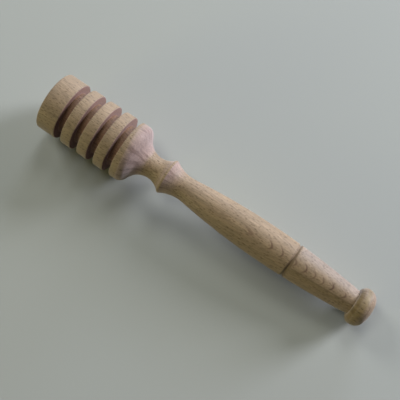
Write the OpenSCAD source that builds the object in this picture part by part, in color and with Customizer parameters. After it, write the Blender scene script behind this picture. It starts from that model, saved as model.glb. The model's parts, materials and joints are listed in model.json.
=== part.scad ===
// Honey dipper turned from beech: a grooved head glued on the tenon of a slim handle.
// It lies on its side, as it is put down between uses, and rests on the head's shoulder and the knob.
// Places along the dipper's axis are counted in millimetres from the flat end of the head.

/* [Overall] */
// Length from the flat end of the head to the end of the knob
dipper_len = 175; // [160:1:215]
// Diameter of the head over its lands
head_d = 29; // [26:0.5:36]

/* [Grooved head] */
// Rounding of the edge of the flat end
end_edge_r = 1; // [0.4:0.1:2]
// Width of the land between the flat end and the first groove
first_land = 10.2; // [6:0.2:13]
// Number of grooves that hold the honey
groove_count = 4; // [2:1:5]
// Width of a groove
groove_w = 3.7; // [2.5:0.1:4.6]
// Width of the lands between grooves
land_w = 5.4; // [4:0.1:6.6]
// Width of the straight land behind the last groove
last_land = 3.2; // [2:0.1:5]
// Diameter of the core at the bottom of the grooves
core_d = 21; // [16:0.5:25]
// Easing of the land edges at a groove
lip_r = 0.45; // [0.2:0.05:0.8]

/* [Bell and neck] */
// Radius of the shoulder where the head turns in to the neck
shoulder_r = 3.9; // [2:0.1:5]
// Steepness of the flank below the shoulder, in degrees from the axis
flank_angle = 60; // [50:1:70]
// Radius of the cove that makes the neck
cove_r = 9.1; // [7:0.1:11]
// Diameter of the neck at its narrowest
neck_d = 11.2; // [9:0.2:13.6]

/* [Bead] */
// Diameter of the bead over its rounded ridge
bead_d = 17.4; // [15.5:0.1:21]
// Width of the ridge between the neck's cove and the hollow behind it
ridge_w = 1.4; // [0.6:0.1:2.4]
// Height of the ridge's crown
ridge_crown = 0.25; // [0.1:0.05:0.5]
// Radius of the hollow between the bead and the grip
hollow_r = 18; // [14:0.5:24]

/* [Grip] */
// Diameter of the waist at the bottom of the hollow
waist_d = 11.8; // [9.5:0.1:14]
// Distance from the waist to the thickest place of the grip
waist_to_swell = 44; // [36:1:54]
// Diameter of the grip at its thickest
swell_d = 17.5; // [15:0.1:21]
// Diameter of the grip where it meets the knob
foot_d = 11.8; // [9.5:0.1:14]

/* [Scorched line] */
// Distance from the middle of the scorched line to the end of the knob
scorch_from_end = 42.4; // [34:0.2:52]
// Width of the scorched line at the surface
scorch_w = 1.8; // [1:0.1:2.4]
// Depth of the scorched line
scorch_depth = 0.7; // [0.3:0.1:1]

/* [Knob] */
// Diameter of the knob
knob_d = 18.4; // [16:0.1:22]
// Length of the knob
knob_len = 8.8; // [7:0.1:12]
// Rounding of the knob on the grip's side
knob_near_r = 3.2; // [1.5:0.1:4]
// Rounding of the knob at its end
knob_far_r = 5.2; // [3:0.1:5.8]

/* [Joint] */
// Diameter at which the head and the handle meet on the neck's cove
seam_d = 15; // [14:0.2:18]
// Diameter of the handle's tenon
tenon_d = 10; // [8:0.1:12]
// Length of the tenon beyond the seam
tenon_len = 18; // [14:1:33]
// Chamfer of the tenon's tip
tenon_chamfer = 1; // [0.4:0.1:1.5]
// Room for glue round the tenon
glue_gap = 0.1; // [0.05:0.05:0.2]
// Room for spare glue between the tenon's tip and the full depth of the bore
glue_pocket = 1.5; // [0.5:0.5:3]

/* [Hidden] */
$fn = 96;
beech = [0.80, 0.66, 0.48];
beech_end = [0.76, 0.61, 0.45];
arc_steps = 12;
grip_steps = 48;
drill_point_angle = 59;

// Radii of the turned diameters
head_r = head_d / 2;
core_r = core_d / 2;
neck_r = neck_d / 2;
bead_r = bead_d / 2;
waist_r = waist_d / 2;
swell_r = swell_d / 2;
foot_r = foot_d / 2;
knob_r = knob_d / 2;
seam_r = seam_d / 2;
bore_r = tenon_d / 2 + glue_gap;

// A rounding is never more than its own wall leaves room for
land_lip_r = min(lip_r, land_w / 3);
knob_end_r = min(knob_far_r, knob_len - 1, knob_r - 1);
knob_in_r = min(knob_near_r, knob_len - knob_end_r, knob_r - foot_r);

// Half the chord of an arc of radius rad that rises by a height of rise
function half_chord(rad, rise) = sqrt(rise * (2 * rad - rise));
// Rise of an arc of radius rad at a distance along its tangent
function sagitta(rad, along) = rad - sqrt(rad * rad - along * along);
// Radius of the arc that rises by rise over a distance along its tangent
function arc_radius(along, rise) = (along * along + rise * rise) / (2 * rise);

// Places along the axis
barrel_len = first_land + groove_count * groove_w + (groove_count - 1) * land_w + last_land;
flank_drop = head_r - neck_r - (shoulder_r + cove_r) * (1 - cos(flank_angle));
bell_len = (shoulder_r + cove_r) * sin(flank_angle) + flank_drop / tan(flank_angle);
neck_x = barrel_len + bell_len;
ridge_r = bead_r - ridge_crown;
bead_x = neck_x + half_chord(cove_r, ridge_r - neck_r) + ridge_w / 2;
waist_x = bead_x + ridge_w / 2 + half_chord(hollow_r, ridge_r - waist_r);
swell_x = waist_x + waist_to_swell;
foot_x = dipper_len - knob_len;
scorch_x = dipper_len - scorch_from_end;

// The joint's seam lies on the cove, where the cove has the seam's diameter
seam_angle = acos(1 - (seam_r - neck_r) / cove_r);
seam_x = neck_x - cove_r * sin(seam_angle);

// Between the waist and the swell one hollow arc and one full arc meet without a corner
full_r = arc_radius(waist_to_swell, swell_r - waist_r) - hollow_r;
turn_x = waist_x + waist_to_swell * hollow_r / (hollow_r + full_r);
tail_r = arc_radius(foot_x - swell_x, swell_r - foot_r);
function grip_r(x) =
    x < turn_x ? waist_r + sagitta(hollow_r, x - waist_x) :
    x < swell_x ? swell_r - sagitta(full_r, swell_x - x) :
    swell_r - sagitta(tail_r, x - swell_x);

// The dipper rests on the line that touches the shoulder's arc and the arc at the knob's end
shoulder_c = [barrel_len, head_r - shoulder_r];
knob_c = [dipper_len - knob_end_r, knob_r - knob_end_r];
span = knob_c - shoulder_c;
tilt = asin((shoulder_r - knob_end_r) / norm(span)) - atan2(span[1], span[0]);
rest_height = shoulder_c[0] * sin(tilt) + shoulder_c[1] * cos(tilt) + shoulder_r;
// The lowest and highest places along the table, where the two round ends reach furthest
low_x = end_edge_r * cos(tilt) - (head_r - end_edge_r) * sin(tilt) - end_edge_r;
high_x = knob_c[0] * cos(tilt) + knob_c[1] * sin(tilt) + knob_end_r;

// Points of an arc round c, from angle a1 to a2, as [place along the axis, radius]
function arc(c, rad, a1, a2, steps = arc_steps) =
    [for (i = [0:steps]) let (a = a1 + (a2 - a1) * i / steps) c + rad * [cos(a), sin(a)]];

// Outline of one groove that starts at x, with both land edges eased
function groove(x) = concat(
    arc([x - land_lip_r, head_r - land_lip_r], land_lip_r, 90, 0, 4),
    [[x, core_r], [x + groove_w, core_r]],
    arc([x + groove_w + land_lip_r, head_r - land_lip_r], land_lip_r, 180, 90, 4)
);

function head_outline() = concat(
    [[0, 0]],
    arc([end_edge_r, head_r - end_edge_r], end_edge_r, 180, 90, 6),
    [for (i = [0:groove_count - 1]) each groove(first_land + i * (groove_w + land_w))],
    arc(shoulder_c, shoulder_r, 90, 90 - flank_angle),
    arc([neck_x, neck_r + cove_r], cove_r, 270 - flank_angle, 270 - seam_angle, 6),
    [[seam_x, 0]]
);

function handle_outline() = concat(
    [[seam_x - tenon_len, 0], [seam_x - tenon_len, tenon_d / 2 - tenon_chamfer]],
    [[seam_x - tenon_len + tenon_chamfer, tenon_d / 2], [seam_x, tenon_d / 2]],
    arc([neck_x, neck_r + cove_r], cove_r, 270 - seam_angle, 270 + acos(1 - (ridge_r - neck_r) / cove_r), 20),
    arc([bead_x, bead_r - arc_radius(ridge_w / 2, ridge_crown)], arc_radius(ridge_w / 2, ridge_crown),
        90 + asin(ridge_w / 2 / arc_radius(ridge_w / 2, ridge_crown)),
        90 - asin(ridge_w / 2 / arc_radius(ridge_w / 2, ridge_crown)), 6),
    arc([waist_x, waist_r + hollow_r], hollow_r, 270 - acos(1 - (ridge_r - waist_r) / hollow_r), 270),
    [for (i = [1:grip_steps]) let (x = waist_x + (foot_x - waist_x) * i / grip_steps) [x, grip_r(x)]],
    arc([foot_x + knob_in_r, knob_r - knob_in_r], knob_in_r, 180, 90),
    arc(knob_c, knob_end_r, 90, 0),
    [[dipper_len, 0]]
);

// A solid turned round its axis from an outline
module turned(outline) {
    rotate_extrude() polygon([for (p = outline) [p[1], p[0]]]);
}

// Lays a turned piece on the table, head towards -X, with the origin below its middle
module lying() {
    translate([-(low_x + high_x) / 2, 0, rest_height])
        rotate([0, 90 + tilt, 0])
            children();
}

// Blind bore for the tenon, with the cone that the drill's point leaves
module tenon_bore() {
    deep = tenon_len + glue_pocket;
    point = bore_r / tan(drill_point_angle);
    translate([0, 0, seam_x - deep]) cylinder(h = deep + 1, r = bore_r);
    translate([0, 0, seam_x - deep - point]) cylinder(h = point, r1 = 0, r2 = bore_r);
}

// The V that a wire burns into the spinning handle
module scorched_line() {
    r = grip_r(scorch_x);
    reach = 1;
    half = scorch_w / 2 * (scorch_depth + reach) / scorch_depth;
    turned([[scorch_x, r - scorch_depth], [scorch_x - half, r + reach], [scorch_x + half, r + reach]]);
}

module head() {
    color(beech) lying() difference() {
        turned(head_outline());
        tenon_bore();
    }
}

module handle() {
    color(beech_end) lying() difference() {
        turned(handle_outline());
        scorched_line();
    }
}

head();
handle();
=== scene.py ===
# %% [markdown]
# # A honey dipper of turned beech
# The imported model gives the two wooden pieces at their real size: a grooved head, and a handle whose tenon
# is glued into it. This lesson turns both pieces again as fine meshes, gives them a beech that runs through
# the wood, and lights them softly from one side. We load the frame first, because every place below comes
# from it.

# %% Load the frame
import json
import math

import bmesh
import bpy
from mathutils import Matrix, Vector


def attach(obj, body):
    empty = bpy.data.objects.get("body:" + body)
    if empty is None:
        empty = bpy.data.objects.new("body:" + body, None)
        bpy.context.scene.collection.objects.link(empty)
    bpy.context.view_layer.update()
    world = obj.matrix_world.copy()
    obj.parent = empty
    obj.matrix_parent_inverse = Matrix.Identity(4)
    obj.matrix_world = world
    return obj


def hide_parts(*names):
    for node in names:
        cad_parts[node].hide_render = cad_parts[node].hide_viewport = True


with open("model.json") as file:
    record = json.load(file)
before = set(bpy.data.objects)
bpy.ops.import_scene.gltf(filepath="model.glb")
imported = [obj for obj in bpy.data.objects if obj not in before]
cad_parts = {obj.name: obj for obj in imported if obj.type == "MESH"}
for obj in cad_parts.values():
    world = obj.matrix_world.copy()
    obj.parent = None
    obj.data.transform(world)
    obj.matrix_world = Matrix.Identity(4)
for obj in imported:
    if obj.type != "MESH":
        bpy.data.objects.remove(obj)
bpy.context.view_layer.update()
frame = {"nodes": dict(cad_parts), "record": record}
print("pieces in the frame:", sorted(frame["nodes"]))

# %% [markdown]
# ## Where the dipper's axis lies
# The dipper lies on its side and dips a little towards the knob. The record's mount sits in the middle of
# the flat end and points out of it, so it gives both the start and the direction of the axis. The numbers
# could be typed in, but read from the record they follow every change of the model. Each piece is turned
# along X and is laid into place at the end, the way work leaves a lathe.

# %% Read the axis from the record
MM = 0.001
flat_end_mount = frame["record"]["mounts"][0]
flat_end = Vector(flat_end_mount["pos_m"])
axis = -Vector(flat_end_mount["axis"]).normalized()
tilt = math.atan2(-axis.z, axis.x)
lie_down = Matrix.Translation(flat_end) @ Matrix.Rotation(tilt, 4, "Y")
print(f"the axis dips by {math.degrees(tilt):.2f} degrees from {tuple(round(c, 4) for c in flat_end)}")

# %% [markdown]
# ## The camera
# The camera looks almost straight down from about a third of a metre above the table. We aim at a point on
# the table, step back along one direction and keep the picture level. A Track To constraint could do the
# aiming, but a direction that is worked out once needs nothing else in the scene. The lens is a short
# telephoto, so the far end of the dipper looks hardly smaller than the near one.

# %% Place the camera
AIM = Vector((-6.0, 1.8, 0.0)) * MM
CAMERA_AZIMUTH = math.radians(34.29)
CAMERA_ELEVATION = math.radians(77.73)
CAMERA_DISTANCE = 363 * MM
LENS = 68.4

camera_data = bpy.data.cameras.new("camera")
camera_data.lens = LENS
camera = bpy.data.objects.new("camera", camera_data)
bpy.context.scene.collection.objects.link(camera)
back = Vector((
    math.sin(CAMERA_AZIMUTH) * math.cos(CAMERA_ELEVATION),
    -math.cos(CAMERA_AZIMUTH) * math.cos(CAMERA_ELEVATION),
    math.sin(CAMERA_ELEVATION),
))
camera.location = AIM + back * CAMERA_DISTANCE
camera.rotation_euler = (-back).to_track_quat("-Z", "Y").to_euler()
bpy.context.scene.camera = camera
print(f"camera at {tuple(round(c, 3) for c in camera.location)} m")

# %% [markdown]
# ## Drawing an outline and turning it
# A lathe makes every shape here, and Blender's counterpart is Spin: half an outline is drawn point by point
# and swept round the axis. The Screw modifier would sweep it too, but Spin gives a plain mesh at once, whose
# rims can then be bevelled. The outline starts as one vertex, which we get by merging a small plane, and
# each extrusion adds the next point. Long bends are arcs, so a small function gives their points.

# %% Helpers that draw and turn an outline
SPIN_STEPS = 224
WELD = 0.001 * MM


def deselect_everything():
    bpy.ops.object.select_all(action="DESELECT")


def arc(centre, radius, start, end, steps):
    """Points of an arc in the plane of the axis and the radius, with angles in degrees."""
    angles = [math.radians(start + (end - start) * i / steps) for i in range(steps + 1)]
    return [(centre[0] + radius * math.cos(a), centre[1] + radius * math.sin(a)) for a in angles]


def draw_outline(name, outline):
    """Extrudes one vertex from point to point along an outline of (place, radius) in millimetres."""
    deselect_everything()
    start = Vector((outline[0][0], 0, outline[0][1])) * MM
    bpy.ops.mesh.primitive_plane_add(size=MM, location=start)
    piece = bpy.context.object
    piece.name = piece.data.name = name
    bpy.ops.object.mode_set(mode="EDIT")
    bpy.ops.mesh.select_mode(type="VERT")
    bpy.ops.mesh.merge(type="CENTER")
    for here, there in zip(outline, outline[1:]):
        step = Vector((there[0] - here[0], 0, there[1] - here[1])) * MM
        bpy.ops.mesh.extrude_region_move(TRANSFORM_OT_translate={"value": step})
    bpy.ops.object.mode_set(mode="OBJECT")
    bpy.ops.object.transform_apply(location=True, rotation=True, scale=True)
    return piece


def turn(piece):
    """Spins an outline round the axis and closes the seam and the poles."""
    bpy.ops.object.mode_set(mode="EDIT")
    bpy.ops.mesh.select_all(action="SELECT")
    bpy.ops.mesh.spin(steps=SPIN_STEPS, angle=2 * math.pi, center=(0, 0, 0), axis=(1, 0, 0))
    bpy.ops.mesh.select_all(action="SELECT")
    bpy.ops.mesh.remove_doubles(threshold=WELD)
    bpy.ops.mesh.normals_make_consistent(inside=False)
    bpy.ops.object.mode_set(mode="OBJECT")
    print(f"{piece.name}: {len(piece.data.polygons)} faces after turning")


# %% [markdown]
# ## Easing the rims
# A turner touches every sharp rim with sandpaper, and the thin line of light that this leaves is what makes
# an edge look real. The rims could be drawn as tiny arcs in the outline, but Bevel rounds a rim exactly
# between its two faces. So we pick the edges by their place and bevel only those. At the end the piece gets
# smooth faces and is laid on the table, with its place in its mesh and its object at the origin.

# %% Helpers that ease rims and lay a piece down
RIM_SLACK = 0.01


def ease_rims(piece, rims, width, segments):
    """Rounds the sharp rims at the given (place, radius) pairs, as sandpaper does."""
    bpy.ops.object.mode_set(mode="EDIT")
    bpy.ops.mesh.select_all(action="DESELECT")
    bpy.ops.mesh.select_mode(type="EDGE")
    mesh = bmesh.from_edit_mesh(piece.data)
    for edge in mesh.edges:
        ends = [(v.co.x / MM, math.hypot(v.co.y, v.co.z) / MM) for v in edge.verts]
        edge.select = any(all(math.dist(end, rim) < RIM_SLACK for end in ends) for rim in rims)
    found = sum(edge.select for edge in mesh.edges)
    bmesh.update_edit_mesh(piece.data)
    bpy.ops.mesh.bevel(offset=width * MM, segments=segments, affect="EDGES", profile=0.5)
    bpy.ops.object.mode_set(mode="OBJECT")
    print(f"{piece.name}: {found} edges eased by {width} mm")


def lay_in_place(piece, sharp_angle):
    """Smooths the faces, lays the piece on the table and leaves its object at the origin."""
    deselect_everything()
    piece.select_set(True)
    bpy.context.view_layer.objects.active = piece
    bpy.ops.object.shade_smooth_by_angle(angle=math.radians(sharp_angle))
    piece.matrix_world = lie_down
    bpy.ops.object.transform_apply(location=True, rotation=True, scale=True)
    print(f"{piece.name}: {len(piece.data.polygons)} faces, laid on the table")


# %% [markdown]
# ## Sizes of the turned profile
# These are the sizes that a turner would mark on a stick: where each part begins and how thick it is, in
# millimetres. Only the driving sizes are written down. The rest of the outline follows from them, because
# arcs that meet without a corner leave it no choice.

# %% Turned sizes in millimetres
LENGTH = 175
HEAD_R = 14.5
CORE_R = 10.5
FIRST_LAND = 10.2
GROOVES = 4
GROOVE_W = 3.7
LAND_W = 5.4
LAST_LAND = 3.2
SHOULDER_R = 3.9
FLANK = 60
COVE_R = 9.1
NECK_R = 5.6
BEAD_R = 8.7
RIDGE_W = 1.4
RIDGE_CROWN = 0.25
HOLLOW_R = 18
WAIST_R = 5.9
WAIST_TO_SWELL = 44
SWELL_R = 8.75
FOOT_R = 5.9
KNOB_R = 9.2
KNOB_LEN = 8.8
KNOB_NEAR_R = 3.2
KNOB_FAR_R = 5.2
SCORCH_FROM_END = 42.4
SCORCH_W = 1.8
SCORCH_DEPTH = 0.7
SEAM_R = 7.5
TENON_R = 5
TENON_LEN = 18
TENON_CHAMFER = 1
GLUE_GAP = 0.1
GLUE_POCKET = 1.5
DRILL_POINT = 59
print(f"the dipper is {LENGTH} mm long and {2 * HEAD_R:g} mm thick, with {GROOVES} grooves")

# %% Work out the rest of the profile


def rise(radius, along):
    """How far an arc has left its tangent at a distance along it."""
    return radius - math.sqrt(radius * radius - along * along)


def half_chord(radius, height):
    """How far along its tangent an arc goes while it leaves it by a height."""
    return math.sqrt(height * (2 * radius - height))


def radius_for(along, height):
    """The radius of the arc that leaves its tangent by a height at a distance along it."""
    return (along * along + height * height) / (2 * height)


groove_starts = [FIRST_LAND + i * (GROOVE_W + LAND_W) for i in range(GROOVES)]
barrel_end = groove_starts[-1] + GROOVE_W + LAST_LAND
bends = SHOULDER_R + COVE_R
flank_drop = HEAD_R - NECK_R - bends * (1 - math.cos(math.radians(FLANK)))
neck_x = barrel_end + bends * math.sin(math.radians(FLANK)) + flank_drop / math.tan(math.radians(FLANK))
ridge_r = BEAD_R - RIDGE_CROWN
ridge_start = neck_x + half_chord(COVE_R, ridge_r - NECK_R)
waist_x = ridge_start + RIDGE_W + half_chord(HOLLOW_R, ridge_r - WAIST_R)
swell_x = waist_x + WAIST_TO_SWELL
foot_x = LENGTH - KNOB_LEN
scorch_x = LENGTH - SCORCH_FROM_END
seam_angle = math.degrees(math.acos(1 - (SEAM_R - NECK_R) / COVE_R))
seam_x = neck_x - COVE_R * math.sin(math.radians(seam_angle))
print(f"neck at {neck_x:.1f}, waist at {waist_x:.1f}, swell at {swell_x:.1f}, foot at {foot_x:.1f} mm")

# %% [markdown]
# ## The head
# The head is one block of beech. Its four grooves hold the honey, and its shoulder runs into a cove that the
# handle carries on. The grooves could be cut with a Boolean, but on a turned piece they are only steps of
# the outline. It goes from the flat end over the lands and down the bell to the seam, and back along the
# blind bore. The rims are drawn sharp and eased afterwards.

# %% Turn the head
bore_r = TENON_R + GLUE_GAP
bore_end = seam_x - TENON_LEN - GLUE_POCKET
bore_tip = bore_end - bore_r / math.tan(math.radians(DRILL_POINT))
shoulder_centre = (barrel_end, HEAD_R - SHOULDER_R)
cove_centre = (neck_x, NECK_R + COVE_R)

head_outline = [(0, 0), (0, HEAD_R)]
for x in groove_starts:
    head_outline += [(x, HEAD_R), (x, CORE_R), (x + GROOVE_W, CORE_R), (x + GROOVE_W, HEAD_R)]
head_outline += arc(shoulder_centre, SHOULDER_R, 90, 90 - FLANK, steps=14)
head_outline += arc(cove_centre, COVE_R, 270 - FLANK, 270 - seam_angle, steps=10)
head_outline += [(seam_x, bore_r), (bore_end, bore_r), (bore_tip, 0)]

head = draw_outline("dipper_head", head_outline)
turn(head)
ease_rims(head, [(0, HEAD_R)], width=1.0, segments=6)
land_rims = [(x, HEAD_R) for start in groove_starts for x in (start, start + GROOVE_W)]
ease_rims(head, land_rims, width=0.45, segments=4)
lay_in_place(head, sharp_angle=35)
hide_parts("head")
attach(head, "root")

# %% [markdown]
# ## The handle
# The handle begins with the tenon that the glue holds in the head. Outside it carries on the cove, rises to
# a bead with a narrow ridge, falls into a hollow and swells to the grip. A free curve could draw the grip,
# but one hollow arc and one full arc that meet without a corner are what a turner's eye aims for, and they
# need no points in between. A wire burns the thin V near the end.

# %% Outline of the grip
full_r = radius_for(WAIST_TO_SWELL, SWELL_R - WAIST_R) - HOLLOW_R
turn_x = waist_x + WAIST_TO_SWELL * HOLLOW_R / (HOLLOW_R + full_r)
tail_r = radius_for(foot_x - swell_x, SWELL_R - FOOT_R)


def grip_radius(x):
    if x < turn_x:
        return WAIST_R + rise(HOLLOW_R, x - waist_x)
    if x < swell_x:
        return SWELL_R - rise(full_r, swell_x - x)
    return SWELL_R - rise(tail_r, x - swell_x)


def grip_points(start, end, steps):
    places = [start + (end - start) * i / steps for i in range(steps + 1)]
    return [(x, grip_radius(x)) for x in places]


def angle_for(radius, height):
    """The angle over which an arc leaves its tangent by a height."""
    return math.degrees(math.acos(1 - height / radius))


print(f"the hollow arc of {HOLLOW_R} mm meets the full arc of {full_r:.0f} mm at {turn_x:.1f} mm")

# %% Turn the handle
tenon_start = seam_x - TENON_LEN
crown_r = radius_for(RIDGE_W / 2, RIDGE_CROWN)
crown_half = math.degrees(math.asin(RIDGE_W / 2 / crown_r))
crown_centre = (ridge_start + RIDGE_W / 2, BEAD_R - crown_r)
hollow_centre = (waist_x, WAIST_R + HOLLOW_R)
hollow_angle = angle_for(HOLLOW_R, ridge_r - WAIST_R)
scorch_start = scorch_x - SCORCH_W / 2
scorch_end = scorch_x + SCORCH_W / 2
knob_near_centre = (foot_x + KNOB_NEAR_R, KNOB_R - KNOB_NEAR_R)
knob_far_centre = (LENGTH - KNOB_FAR_R, KNOB_R - KNOB_FAR_R)

handle_outline = [(tenon_start, 0), (tenon_start, TENON_R - TENON_CHAMFER)]
handle_outline += [(tenon_start + TENON_CHAMFER, TENON_R), (seam_x, TENON_R)]
cove_end = 270 + angle_for(COVE_R, ridge_r - NECK_R)
handle_outline += arc(cove_centre, COVE_R, 270 - seam_angle, cove_end, steps=26)
handle_outline += arc(crown_centre, crown_r, 90 + crown_half, 90 - crown_half, steps=8)[1:]
handle_outline += arc(hollow_centre, HOLLOW_R, 270 - hollow_angle, 270, steps=14)[1:]
handle_outline += grip_points(waist_x, scorch_start, steps=40)[1:]
handle_outline += [(scorch_x, grip_radius(scorch_x) - SCORCH_DEPTH)]
handle_outline += grip_points(scorch_end, foot_x, steps=24)
handle_outline += arc(knob_near_centre, KNOB_NEAR_R, 180, 90, steps=12)
handle_outline += arc(knob_far_centre, KNOB_FAR_R, 90, 0, steps=16)
handle_outline += [(LENGTH, 0)]

handle = draw_outline("dipper_handle", handle_outline)
turn(handle)
scorch_rims = [(x, grip_radius(x)) for x in (scorch_start, scorch_end)]
ease_rims(handle, scorch_rims, width=0.15, segments=2)
lay_in_place(handle, sharp_angle=30)
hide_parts("handle")
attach(handle, "root")

# %% [markdown]
# ## Beech that runs through the wood
# A turned surface cuts the same wood at every angle, so an image wrapped round it would look like wallpaper.
# The pattern is solid instead: rings as thin layers, rays as small upright blades and fibres as long
# streaks, all worked out from the place inside the wood. A face along the grain then shows dashes and lines,
# and a face across it shows dots. The nodes could be placed by hand, but a few short helpers let each later
# step read like a recipe.

# %% Helpers for shader nodes


def add_node(tree, kind, inputs, **settings):
    """Adds a node, sets its properties and fills its inputs with values or links."""
    node = tree.nodes.new(kind)
    for name, value in settings.items():
        setattr(node, name, value)
    for name, value in inputs.items():
        if isinstance(value, bpy.types.NodeSocket):
            tree.links.new(value, node.inputs[name])
        else:
            node.inputs[name].default_value = value
    return node


def calc(tree, operation, a, b=0.0):
    return add_node(tree, "ShaderNodeMath", {0: a, 1: b}, operation=operation).outputs[0]


def times(tree, a, b):
    """One mask or value multiplied by another."""
    return calc(tree, "MULTIPLY", a, b)


def distance_to(tree, value, target):
    return calc(tree, "ABSOLUTE", calc(tree, "SUBTRACT", value, target))


def vector_math(tree, operation, *inputs):
    """A Vector Math node, which gives a number for a length or a dot product and else a vector."""
    node = add_node(tree, "ShaderNodeVectorMath", dict(enumerate(inputs)), operation=operation)
    return node.outputs["Value" if operation in ("LENGTH", "DOT_PRODUCT") else "Vector"]


def remap(tree, value, low, high, to_low=0.0, to_high=1.0):
    """Goes softly from to_low to to_high while the value goes from low to high, and stays there beyond."""
    inputs = {"Value": value, "From Min": low, "From Max": high, "To Min": to_low, "To Max": to_high}
    return add_node(tree, "ShaderNodeMapRange", inputs, interpolation_type="SMOOTHSTEP").outputs["Result"]


def blend_colors(tree, kind, factor, a, b):
    """Mixes two colours; in a colour Mix node the sockets 0, 6 and 7 are the factor, A and B."""
    node = add_node(tree, "ShaderNodeMix", {0: factor, 6: a, 7: b}, data_type="RGBA", blend_type=kind)
    return node.outputs[2]


# %% Helpers for textures and groups


def noise(tree, place, per_mm, detail=2.0, roughness=0.5):
    """Soft noise, with so many swells on a millimetre along each direction."""
    inputs = {"Vector": vector_math(tree, "MULTIPLY", place, per_mm), "Scale": 1.0}
    inputs.update({"Detail": detail, "Roughness": roughness})
    return add_node(tree, "ShaderNodeTexNoise", inputs).outputs["Fac"]


def cells(tree, place, per_mm):
    """The distance to the middle of a cell, with so many cells on a millimetre along each direction."""
    inputs = {"Vector": vector_math(tree, "MULTIPLY", place, per_mm), "Scale": 1.0}
    return add_node(tree, "ShaderNodeTexVoronoi", inputs).outputs["Distance"]


def new_group(name, inputs, outputs):
    """Starts a node group with named sockets of each kind and returns it with its two end nodes."""
    group = bpy.data.node_groups.new(name, "ShaderNodeTree")
    for side, kinds in (("INPUT", inputs), ("OUTPUT", outputs)):
        for kind, labels in kinds.items():
            for label in labels:
                group.interface.new_socket(label, in_out=side, socket_type="NodeSocket" + kind)
    return group, group.nodes.new("NodeGroupInput"), group.nodes.new("NodeGroupOutput")


# %% [markdown]
# ## Year rings
# Each year the tree lays a shell round its pith: pale spring wood that darkens to a thin line in late summer.
# A Wave texture draws such rings too, but all alike. We measure the distance from the pith, let slow noise
# bend it and count the years, because a counted year can have a strength of its own. The pith lies far
# outside the dipper, so its flat cut side shows the shells as nested crescents.

# %% Rings in the wood
PITH_DISTANCE = 59.87
RING_DRIFT = 1.4
RING_WAVE = 3.0
FAINTEST_YEAR = 0.7


def year_rings(group, place, ring_width):
    """Returns two masks: the tone that grows through the summer, and the line that ends each year."""
    across = vector_math(group, "MULTIPLY", place, (0, 1, 1))
    from_pith = vector_math(group, "LENGTH", vector_math(group, "ADD", across, (0, 0, PITH_DISTANCE)))
    drift = noise(group, place, (0.06, 0.05, 0.05))
    wave = noise(group, place, (0.015, 0.03, 0.03), detail=1.0)
    from_pith = calc(group, "ADD", from_pith, times(group, drift, RING_DRIFT))
    from_pith = calc(group, "ADD", from_pith, times(group, wave, RING_WAVE))
    years = calc(group, "DIVIDE", from_pith, ring_width)
    year = calc(group, "FLOOR", years)
    season = calc(group, "FRACT", years)
    chance = add_node(group, "ShaderNodeTexWhiteNoise", {"W": year}, noise_dimensions="1D").outputs["Value"]
    before_spring = remap(group, season, 1.0, 0.97)
    summer = times(group, remap(group, season, 0.3, 0.95), before_spring)
    line = times(group, remap(group, season, 0.78, 0.9), before_spring)
    return summer, times(group, line, remap(group, chance, 0.0, 1.0, FAINTEST_YEAR, 1.0))


# %% [markdown]
# ## Rays and fibres
# Beech is known by its rays, thin blades that run from the pith outwards. A flat cut shows them as short
# dark dashes. Rows of painted dashes would repeat, but stretched Voronoi cells don't: each has one dark
# middle and none lines up with the next. The fibres are noise drawn out along X, once fine, once as broader
# streaks and once as a slow change of tone.

# %% Rays and fibres in the wood
LONG_RAYS_PER_MM = (0.42, 1.5, 0.1)
SHORT_RAYS_PER_MM = (0.9, 3.1, 0.25)
SHORT_RAY_STRENGTH = 0.75


def wood_rays(group, place):
    """Returns the mask of the rays, in which the short ones are weaker."""
    long_rays = remap(group, cells(group, place, LONG_RAYS_PER_MM), 0.34, 0.16)
    short_rays = remap(group, cells(group, place, SHORT_RAYS_PER_MM), 0.3, 0.12)
    return calc(group, "MAXIMUM", long_rays, times(group, short_rays, SHORT_RAY_STRENGTH))


def wood_fibres(group, place):
    """Returns the fine fibres, and the factor by which fibres, streaks and tone shade the wood."""
    fibre = noise(group, place, (0.16, 3.2, 3.2), detail=3.0, roughness=0.6)
    streak = noise(group, place, (0.04, 0.9, 0.9))
    tone = noise(group, place, (0.03, 0.15, 0.15))
    shade = remap(group, fibre, 0.3, 0.7, 0.82, 1.18)
    shade = times(group, shade, remap(group, tone, 0.3, 0.7, 0.94, 1.06))
    return fibre, times(group, shade, remap(group, streak, 0.3, 0.7, 0.92, 1.07))


# %% [markdown]
# ## Side grain and end grain
# Along the grain the tool leaves the wood smooth and yellowish, and only a flat cut shows strong ring lines
# and rays. Across the grain it tears the fibres open, and the wood turns matt and pinkish. One colour with
# more bump would not show that, so each kind of cut has colours of its own. On a slope the torn fibres are
# streaks that run uphill, and a face square to the axis shows rings crossed by rays.

# %% Colours along and across the grain


def side_grain_color(group, enter, summer, line, rays):
    """Returns the colour along the grain, and the rings and rays as far as this cut shows them."""
    flat_cut = enter.outputs["Flat Cut"]
    line = times(group, line, remap(group, flat_cut, 0.95, 0.99, 0.15, 1.0))
    rays = times(group, rays, remap(group, flat_cut, 0.1, 0.6, 0.3, 1.0))
    rings = calc(group, "MAXIMUM", times(group, summer, 0.18), line)
    color = blend_colors(group, "MIX", rings, enter.outputs["Side Color"], enter.outputs["Line Color"])
    color = blend_colors(group, "MIX", times(group, rays, 0.85), color, enter.outputs["Ray Color"])
    return color, rings, rays


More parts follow.
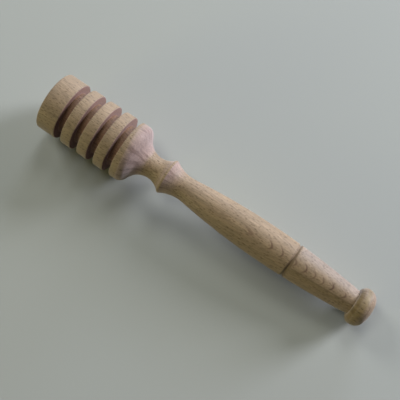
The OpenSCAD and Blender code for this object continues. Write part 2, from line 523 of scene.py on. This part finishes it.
def end_grain_color(group, enter, summer, line, rays, side_rings):
    """Returns the colour across the grain."""
    face_on = enter.outputs["Face On"]
    torn = noise(group, enter.outputs["Around"], (0.12, 4.5, 4.5), detail=4.0, roughness=0.65)
    torn = times(group, remap(group, torn, 0.47, 0.66), remap(group, face_on, 0.0, 1.0, 0.62, 0.0))
    torn = calc(group, "MAXIMUM", torn, times(group, side_rings, 0.5))
    rings = calc(group, "MAXIMUM", times(group, summer, 0.4), times(group, line, 0.7))
    rings_and_rays = calc(group, "MAXIMUM", rings, times(group, rays, 0.35))
    dark = calc(group, "MAXIMUM", torn, times(group, rings_and_rays, face_on))
    return blend_colors(group, "MIX", dark, enter.outputs["End Color"], enter.outputs["End Line Color"])


# %% [markdown]
# ## One group for both pieces
# Head and handle use the same wood, so it is one node group with named inputs: where a point lies, how the
# surface cuts the wood there, and the colours. Copying the nodes into each material would work too, but a
# group is changed in one place. It puts out what varies over the surface, and the shader itself stays in the
# material.

# %% Node group for the beech
BEECH_INPUTS = {
    "Vector": ("Place", "Around"),
    "Float": ("End Grain", "Face On", "Flat Cut", "Ring Width"),
    "Color": ("Side Color", "Line Color", "Ray Color", "End Color", "End Line Color"),
}
BEECH_OUTPUTS = {"Color": ("Color",), "Float": ("Roughness", "Height")}


def build_beech_group():
    group, enter, leave = new_group("beech", BEECH_INPUTS, BEECH_OUTPUTS)
    place = enter.outputs["Place"]
    end_grain = enter.outputs["End Grain"]
    summer, line = year_rings(group, place, enter.outputs["Ring Width"])
    rays = wood_rays(group, place)
    fibre, shade = wood_fibres(group, place)
    side_color, side_rings, side_rays = side_grain_color(group, enter, summer, line, rays)
    end_color = end_grain_color(group, enter, summer, line, rays, side_rings)
    wood = blend_colors(group, "MIX", end_grain, side_color, end_color)
    shaded = add_node(group, "ShaderNodeVectorMath", {0: wood, "Scale": shade}, operation="SCALE").outputs[0]
    roughness = calc(group, "MAXIMUM", remap(group, fibre, 0.2, 0.8, 0.72, 0.56), end_grain)
    sunk = times(group, calc(group, "ADD", side_rings, side_rays), 0.5)
    height = calc(group, "SUBTRACT", fibre, sunk)
    for label, value in {"Color": shaded, "Roughness": roughness, "Height": height}.items():
        group.links.new(value, leave.inputs[label])
    return group


beech_group = build_beech_group()
print("beech group holds", len(beech_group.nodes), "nodes")

# %% [markdown]
# ## Where the surface cuts the wood
# The group has to be told where a point lies in the wood and how the surface cuts it there. Generated
# coordinates would differ from piece to piece. Object coordinates are shared by both, because both objects
# sit at the origin, so the grain runs on over their seam. A Mapping node of type Texture turns metres in the
# scene into millimetres along the axis: X starts at the flat end, and Y points to the side where the window
# will be. The normal tells the cut: along the axis it means end grain, towards the pith a flat cut.

# %% Places in the wood
GRAIN_TURN = math.radians(8)
GRAIN_RUNOUT = math.radians(-5)
STREAK_TURN = math.radians(132)


def wood_places(tree, place_in_scene):
    """Returns the place along the axis, the place in the turned grain, and the place for torn streaks."""
    along = add_node(tree, "ShaderNodeMapping", {
        "Vector": place_in_scene, "Location": flat_end,
        "Rotation": (0, tilt, 0), "Scale": (MM, MM, MM)}, vector_type="TEXTURE").outputs[0]
    place = add_node(tree, "ShaderNodeMapping", {
        "Vector": along, "Rotation": (GRAIN_TURN, GRAIN_RUNOUT, 0)}, vector_type="TEXTURE").outputs[0]
    around = vector_math(tree, "NORMALIZE", vector_math(tree, "MULTIPLY", along, (0, 1, 1)))
    around = vector_math(tree, "ADD", around, vector_math(tree, "MULTIPLY", along, (1, 0, 0)))
    around = add_node(tree, "ShaderNodeMapping", {
        "Vector": around, "Rotation": (STREAK_TURN, 0, 0)}).outputs[0]
    return along, place, around


# %% Masks that tell how the surface cuts the wood
CRESCENTS_FROM = 80
CRESCENTS_FULL = 135
RIM_SLANT = (0, 0.08, 0)


def steepness_for_end_grain(tree, along, place, x):
    """The slope from which the pores are open: low on the bell and behind the bead, high elsewhere."""
    rough_x = calc(tree, "ADD", x, noise(tree, place, (0.3, 1.2, 1.2), detail=3.0, roughness=0.6))
    rough_x = calc(tree, "ADD", rough_x, vector_math(tree, "DOT_PRODUCT", along, RIM_SLANT))
    from_scorch = distance_to(tree, x, scorch_x)
    head_and_bell = remap(tree, rough_x, barrel_end - 2, barrel_end + 0.4, 0.5, -0.3)
    neck = remap(tree, x, barrel_end + 3.6, barrel_end + 11.6, 0, 0.7)
    behind_bead = remap(tree, x, ridge_start, ridge_start + RIDGE_W, 0, -0.35)
    in_scorch = remap(tree, from_scorch, SCORCH_W, SCORCH_W / 2)
    steepness = calc(tree, "ADD", head_and_bell, neck)
    steepness = calc(tree, "ADD", steepness, behind_bead)
    return calc(tree, "ADD", steepness, in_scorch)


def end_masks(tree, normal, along, place, x):
    """Returns how much end grain shows, and where the surface is square to the axis."""
    steep = calc(tree, "ABSOLUTE", vector_math(tree, "DOT_PRODUCT", normal, axis))
    open_from = steepness_for_end_grain(tree, along, place, x)
    end_grain = remap(tree, steep, open_from, calc(tree, "ADD", open_from, 0.5))
    square_from = remap(tree, x, foot_x + 3, foot_x + 5, 0.93, 0.2)
    square_to = remap(tree, x, foot_x + 3, foot_x + 5, 0.985, 0.6)
    return end_grain, remap(tree, steep, square_from, square_to)


def flat_cut_mask(tree, normal, x):
    """Returns 1 where the surface faces the pith or away from it, and less on the head and the knob."""
    from_pith = Matrix.Rotation(tilt, 3, "Y") @ Matrix.Rotation(GRAIN_TURN, 3, "X") @ Vector((0, 0, 1))
    flat_cut = calc(tree, "ABSOLUTE", vector_math(tree, "DOT_PRODUCT", normal, from_pith))
    flat_cut = times(tree, flat_cut, remap(tree, x, CRESCENTS_FROM, CRESCENTS_FULL, 0.955, 1.0))
    return times(tree, flat_cut, remap(tree, x, foot_x - 2, foot_x, 1.0, 0.93))


# %% [markdown]
# ## One beech, two finishes
# Head and handle are bare beech, sanded but neither oiled nor varnished, so the wood is rough, and rougher
# still where its pores lie open. Two materials written out by hand would soon differ in a number, so one
# function builds both from one list of colours and lets each piece lay its own stains, and its painted light
# and shade, over the wood. A weak sheen stands for the fine fuzz of bare wood, and a little bump lets the
# rays and rings sink in.

# %% Colours and material of the beech
RELIEF = 0.08 * MM


def srgb(red, green, blue):
    """A colour written as on a screen, 0 to 255, turned into the linear values that shaders use."""
    def linear(value):
        value /= 255
        return value / 12.92 if value <= 0.04045 else ((value + 0.055) / 1.055) ** 2.4
    return (linear(red), linear(green), linear(blue), 1.0)


BEECH = {
    "Ring Width": 0.88,
    "Side Color": srgb(140, 117, 91),
    "Line Color": srgb(88, 59, 40),
    "Ray Color": srgb(90, 67, 42),
    "End Color": srgb(158, 134, 125),
    "End Line Color": srgb(106, 79, 69),
}


def beech_material(name, stain_and_painted_light):
    """Builds the beech; stain_and_painted_light is a function that lays a piece's own stains and painted
    light and shade over the wood's colour.
    """
    material = bpy.data.materials.new(name)
    material.use_nodes = True
    tree = material.node_tree
    tree.nodes.clear()
    coords = add_node(tree, "ShaderNodeTexCoord", {})
    normal = coords.outputs["Normal"]
    along, place, around = wood_places(tree, coords.outputs["Object"])
    x = add_node(tree, "ShaderNodeSeparateXYZ", {0: along}).outputs["X"]
    end_grain, face_on = end_masks(tree, normal, along, place, x)
    beech = add_node(tree, "ShaderNodeGroup", {
        "Place": place, "Around": around, "End Grain": end_grain, "Face On": face_on,
        "Flat Cut": flat_cut_mask(tree, normal, x), **BEECH}, node_tree=beech_group)
    color = stain_and_painted_light(tree, along, x, beech.outputs["Color"])
    bump = add_node(tree, "ShaderNodeBump", {
        "Strength": 0.35, "Distance": RELIEF, "Height": beech.outputs["Height"]})
    shader = add_node(tree, "ShaderNodeBsdfPrincipled", {
        "Base Color": color, "Roughness": beech.outputs["Roughness"], "Normal": bump.outputs[0],
        "Specular IOR Level": 0.5, "Sheen Weight": 0.25, "Sheen Roughness": 0.4})
    add_node(tree, "ShaderNodeOutputMaterial", {"Surface": shader.outputs[0]})
    print(f"{material.name}: {len(tree.nodes)} nodes")
    return material


def tinted(tree, color, tints):
    """Multiplies a colour by each tint where its mask is 1; a tint over 1 makes the wood paler."""
    for mask, tint in tints:
        color = blend_colors(tree, "MULTIPLY", mask, color, tint)
    return color


# %% [markdown]
# ## Tint and painted shade in the grooves
# The grooves get a reddish tint, which also paints shade into them, and the walls on the side that lies low
# in the picture, away from the window, get more painted shade. The bottoms get painted light on the side
# towards the window and painted shade where they face it most. The faces of a groove could have a material of
# their own, but then the tint would end in a hard line. So masks do it: the distance from the axis tells the
# bottom from the walls, and Y, which runs across the dipper, tells the picture's low side from its high side.
# The bell gets painted light on the high side and painted shade on the low side.

# %% Tint the head, with painted light and shade
GROOVES_MIDDLE = (groove_starts[0] + groove_starts[-1] + GROOVE_W) / 2
GROOVES_HALF = GROOVES_MIDDLE - groove_starts[0] + 0.2
HEAD_TONE = srgb(251, 251, 253)
# A reddish tint with painted shade in the grooves; the low walls get more painted shade, and the bottoms get
# painted light towards the window and painted shade where they face it most.
GROOVE_WALL_TINT_AND_SHADE = srgb(233, 206, 190)
PAINTED_SHADE_LOW_WALL = srgb(184, 146, 116)
GROOVE_CORE_TINT_AND_SHADE = srgb(238, 208, 190)
PAINTED_LIGHT_CORE = (1.10, 1.15, 1.25, 1)
PAINTED_SHADE_HIGH_CORE = (0.86, 0.87, 0.92, 1)
# Painted light on the bell's high side and painted shade on its low side.
PAINTED_LIGHT_BELL = (1.08, 1.12, 1.15, 1)
PAINTED_SHADE_LOW_BELL = (0.86, 0.86, 0.86, 1)


def head_tint_and_painted_light(tree, along, x, color):
    """Tints the grooves with painted shade, and paints light and shade on the bell and the groove bottoms."""
    radius = vector_math(tree, "LENGTH", vector_math(tree, "MULTIPLY", along, (0, 1, 1)))
    y = add_node(tree, "ShaderNodeSeparateXYZ", {0: along}).outputs["Y"]
    in_grooves = calc(tree, "LESS_THAN", distance_to(tree, x, GROOVES_MIDDLE), GROOVES_HALF)
    core = times(tree, remap(tree, radius, CORE_R + 0.9, CORE_R + 0.3), in_grooves)
    wall = times(tree, remap(tree, radius, HEAD_R - 0.05, HEAD_R - 0.6), in_grooves)
    wall = calc(tree, "SUBTRACT", wall, core)
    bell = times(tree, remap(tree, x, barrel_end, barrel_end + 1.5), remap(tree, x, seam_x, seam_x - 2))
    return tinted(tree, color, (
        (1.0, HEAD_TONE),
        # Painted light on the bell's high side and painted shade on its low side.
        (times(tree, bell, remap(tree, y, 3, 8)), PAINTED_LIGHT_BELL),
        (times(tree, bell, remap(tree, y, -6, -11)), PAINTED_SHADE_LOW_BELL),
        # Reddish tint with painted shade on the groove walls, and more painted shade on their low side.
        (wall, GROOVE_WALL_TINT_AND_SHADE),
        (times(tree, wall, remap(tree, y, 9, -1)), PAINTED_SHADE_LOW_WALL),
        # Reddish tint with painted shade on the groove bottoms, painted light towards the window and painted
        # shade where they face it most.
        (core, GROOVE_CORE_TINT_AND_SHADE),
        (times(tree, core, remap(tree, y, -6, 3)), PAINTED_LIGHT_CORE),
        (times(tree, core, remap(tree, y, 6.5, 9)), PAINTED_SHADE_HIGH_CORE),
    ))


head.data.materials.append(beech_material("beech_head", head_tint_and_painted_light))

# %% [markdown]
# ## A burnt line, a dark fibre and a browned knob, with painted light and shade
# The turner holds a wire against the spinning V, and its heat browns the wood. The brown also paints shade:
# it is wider and darker on the picture's low side, and its darkest band lies on the V's shaded wall. One dark
# fibre runs along the tail, with painted light on the lit side above it and painted shade below it. The knob
# is browner, less so on its lit side, which is painted light, and its near corner gets painted shade. Paint
# strokes on a texture would need a UV map and would end at the surface. Masks on X, Y and Z need none, and
# the fibre is a thin dark layer through the wood, as it is in the real one.

# %% Masks on the handle
# The burn's dark band is shifted and slanted onto the V's shaded wall: painted shade.
BURN_AND_SHADE_SHIFT = 0.5
BURN_AND_SHADE_SLANT = 0.03
FIBRE_ANGLE = math.radians(62)
FIBRE_SLANT = 0.033
FIBRE_MIDDLE = 152
FIBRE_NORMAL = Vector((-FIBRE_SLANT, math.sin(FIBRE_ANGLE), math.cos(FIBRE_ANGLE)))


def burn_and_shade_masks(tree, x, y):
    """Returns the browned V and its darker band, both with painted shade: wider and darker on the low side,
    with the band shifted onto the V's shaded wall.
    """
    dark_band_middle = calc(tree, "ADD", times(tree, y, BURN_AND_SHADE_SLANT), scorch_x + BURN_AND_SHADE_SHIFT)
    # The band is wider and darker on the low side: painted shade.
    half_band_width_with_shade = remap(tree, y, -6, 6, 0.85, 0.4)
    past_band_edge = calc(tree, "SUBTRACT", distance_to(tree, x, dark_band_middle), half_band_width_with_shade)
    burnt_and_shaded = remap(tree, past_band_edge, 0.35, -0.35, 0.0, 0.6)
    # The browned V is stronger on the low side: painted shade.
    browned_and_shaded = remap(tree, distance_to(tree, x, scorch_x), SCORCH_W / 2 + 0.2, SCORCH_W / 2 - 0.2)
    return times(tree, browned_and_shaded, remap(tree, y, -5, 5, 0.75, 0.35)), burnt_and_shaded


def tail_masks(tree, along, x, y, z):
    """Returns the painted light on the tail's lit side, the painted shade below the dark fibre, and the
    fibre.
    """
    above_fibre = vector_math(tree, "DOT_PRODUCT", along, FIBRE_NORMAL)
    above_fibre = calc(tree, "ADD", above_fibre, FIBRE_SLANT * FIBRE_MIDDLE)
    on_tail = remap(tree, x, scorch_x, scorch_x + 3)
    on_tail = times(tree, on_tail, remap(tree, x, LENGTH - 1.5, LENGTH - 4.5))
    fibre = times(tree, remap(tree, calc(tree, "ABSOLUTE", above_fibre), 0.5, 0.1, 0.0, 0.5), on_tail)
    # Painted shade below the dark fibre.
    painted_shade_below = times(tree, remap(tree, above_fibre, -4.0, -1.0), remap(tree, above_fibre, 0.0, -0.6))
    # Painted light on the tail's lit side.
    painted_light = times(tree, remap(tree, y, -1, 6.5), on_tail)
    painted_light = times(tree, painted_light, remap(tree, x, foot_x - 1, foot_x + 1, 1.0, 0.4))
    return times(tree, painted_light, remap(tree, z, -5, 2)), times(tree, painted_shade_below, on_tail), fibre


def knob_masks(tree, along, x, y):
    """Returns the knob's browning, weaker on its lit side as painted light, the painted shade in its near
    corner, and a few blotches on it.
    """
    on_knob = remap(tree, x, foot_x - 0.6, foot_x + 0.6)
    # Less brown on the lit side: painted light.
    knob_brown_with_painted_light = times(tree, on_knob, remap(tree, y, 7, 1, 0.75, 0.95))
    # Painted shade in the knob's near corner.
    painted_corner_shade = times(tree, knob_brown_with_painted_light, remap(tree, x, foot_x + 3.5, foot_x + 1))
    blotch = remap(tree, noise(tree, along, (0.3, 0.35, 0.35)), 0.45, 0.62)
    return knob_brown_with_painted_light, painted_corner_shade, times(tree, times(tree, blotch, knob_brown_with_painted_light), 0.2)


# %% Stain the handle, with painted light and shade
# The first colour is painted light on the tail's lit side, the second painted shade below the dark fibre.
PAINTED_LIGHT_TAIL = (0.98, 1.08, 1.42, 1)
PAINTED_SHADE_BELOW_FIBRE = srgb(238, 238, 224)
DARK_FIBRE = srgb(79, 61, 32)
KNOB_BROWN = srgb(229, 229, 200)
# Painted shade in the knob's near corner.
PAINTED_SHADE_CORNER = srgb(212, 208, 178)
BLOTCH_BROWN = srgb(216, 210, 180)
# The burn colours also paint shade on the V's low side and shaded wall.
SCORCHED_AND_SHADED = srgb(92, 68, 42)
CHARRED_AND_SHADED = srgb(76, 55, 28)


def handle_stains_and_painted_light(tree, along, x, color):
    """Lays the burn, the tail's fibre and the knob's browning over the wood, with painted light and shade."""
    split = add_node(tree, "ShaderNodeSeparateXYZ", {0: along})
    y, z = split.outputs["Y"], split.outputs["Z"]
    browned_and_shaded, burnt_and_shaded = burn_and_shade_masks(tree, x, y)
    painted_light, painted_shade_below, fibre = tail_masks(tree, along, x, y, z)
    knob_brown_with_painted_light, painted_corner_shade, blotch = knob_masks(tree, along, x, y)
    # Painted light on the tail's lit side and where the knob is lit; painted shade in the knob's near corner
    # and below the dark fibre.
    color = tinted(tree, color, (
        (painted_light, PAINTED_LIGHT_TAIL), (knob_brown_with_painted_light, KNOB_BROWN), (painted_corner_shade, PAINTED_SHADE_CORNER),
        (blotch, BLOTCH_BROWN), (painted_shade_below, PAINTED_SHADE_BELOW_FIBRE)))
    color = blend_colors(tree, "MIX", fibre, color, DARK_FIBRE)
    # The burn colours include painted shade on the V's low side and shaded wall.
    color = blend_colors(tree, "MIX", browned_and_shaded, color, SCORCHED_AND_SHADED)
    return blend_colors(tree, "MIX", burnt_and_shaded, color, CHARRED_AND_SHADED)


handle.data.materials.append(beech_material("beech_handle", handle_stains_and_painted_light))

# %% [markdown]
# ## The floor
# The dipper lies on plain pale paper, which takes its shadow. A studio would sweep the paper up behind the
# dipper to hide the table's edge. A bent sheet works from one side only, so the floor stays flat here, and
# away from the dipper it fades into a plain backdrop that only the camera sees. No view then shows a
# horizon, and no light is added.

# %% Lay the floor
FLOOR_SIZE = 20.0
SWEEP_START = 0.17
SWEEP_END = 0.6
PAPER = srgb(176, 177, 176)
BACKDROP = (0.62, 0.63, 0.62, 1)

deselect_everything()
bpy.ops.mesh.primitive_plane_add(size=FLOOR_SIZE, location=(0, 0, 0))
floor = bpy.context.object
floor.name = "floor"
paper = bpy.data.materials.new("paper")
paper.use_nodes = True
paper_tree = paper.node_tree
paper_shader = paper_tree.nodes["Principled BSDF"]
paper_shader.inputs["Base Color"].default_value = PAPER
paper_shader.inputs["Roughness"].default_value = 0.95
paper_shader.inputs["Specular IOR Level"].default_value = 0.0
floor_place = add_node(paper_tree, "ShaderNodeTexCoord", {}).outputs["Object"]
from_dipper = vector_math(paper_tree, "LENGTH", floor_place)
to_camera = add_node(paper_tree, "ShaderNodeLightPath", {}).outputs["Is Camera Ray"]
sweep = times(paper_tree, remap(paper_tree, from_dipper, SWEEP_START, SWEEP_END), to_camera)
backdrop_glow = add_node(paper_tree, "ShaderNodeEmission", {"Color": BACKDROP}).outputs[0]
paper_surface = add_node(paper_tree, "ShaderNodeMixShader", {
    0: sweep, 1: paper_shader.outputs[0], 2: backdrop_glow}).outputs[0]
paper_tree.links.new(paper_surface, paper_tree.nodes["Material Output"].inputs["Surface"])
floor.data.materials.append(paper)
print(f"floor of {FLOOR_SIZE} m, plain paper within {SWEEP_START} m of the middle")

# %% [markdown]
# ## The light
# Most of the light comes from a window that stands low on the picture's right, so every groove has a bright
# wall and a shaded one. A single large lamp could give the shadows, but not the tone of each side, so there
# are seven soft discs: the window, then its sill and a side window, which stand lower still and are a little
# blue, and weak ones for the sky, the room, the ceiling and a yellowish wall. The world fills what is left.
# Together they light a level surface so that a colour renders about as it is written.

# %% Hang the lights
LAMP_DISTANCE = 1.2
LAMP_SIZE = 0.42
picture_right = Vector((math.cos(CAMERA_AZIMUTH), math.sin(CAMERA_AZIMUTH), 0))
picture_up = Vector((-math.sin(CAMERA_AZIMUTH), math.cos(CAMERA_AZIMUTH), 0))


def hang_lamp(name, azimuth, elevation, energy, color):
    """Hangs a soft lamp; the azimuth is counted from the picture's right towards its top, in degrees."""
    turn_angle, height_angle = math.radians(azimuth), math.radians(elevation)
    flat = picture_right * math.cos(turn_angle) + picture_up * math.sin(turn_angle)
    towards = flat * math.cos(height_angle) + Vector((0, 0, math.sin(height_angle)))
    lamp_data = bpy.data.lights.new(name, "AREA")
    lamp_data.shape = "DISK"
    lamp_data.size = LAMP_SIZE
    lamp_data.energy = energy
    lamp_data.color = color
    lamp = bpy.data.objects.new(name, lamp_data)
    bpy.context.scene.collection.objects.link(lamp)
    lamp.location = towards * LAMP_DISTANCE
    lamp.rotation_euler = (-towards).to_track_quat("-Z", "Y").to_euler()


hang_lamp("window", 22, 20, 13.9, (0.95, 0.99, 1.0))
hang_lamp("window_sill", 22, 8, 8.8, (0.67, 0.73, 1.0))
hang_lamp("side_window", 68, 8, 8.2, (0.70, 0.81, 1.0))
hang_lamp("sky", 72, 50, 2.45, (0.96, 1.0, 0.92))
hang_lamp("room", 129, 34, 3.95, (0.957, 1.0, 0.91))
hang_lamp("ceiling", 144, 70, 2.35, (0.97, 1.0, 0.89))
hang_lamp("wall", 202, 8, 3.6, (0.98, 1.0, 0.40))
print("lamps:", [lamp.name for lamp in bpy.data.lights])

# %% Let the world fill the shadows and show a pale backdrop
FILL = (0.026, 0.025, 0.018, 1)
world = bpy.data.worlds.new("world")
bpy.context.scene.world = world
world.use_nodes = True
sky = world.node_tree
light_path = add_node(sky, "ShaderNodeLightPath", {})
seen = calc(sky, "MAXIMUM", light_path.outputs["Is Camera Ray"], light_path.outputs["Is Glossy Ray"])
seen = calc(sky, "MAXIMUM", seen, light_path.outputs["Is Transmission Ray"])
sky.links.new(blend_colors(sky, "MIX", seen, FILL, BACKDROP), sky.nodes["Background"].inputs["Color"])
bpy.context.scene.view_settings.view_transform = "Standard"
print("the world fills with", FILL[:3], "and shows", BACKDROP[:3])
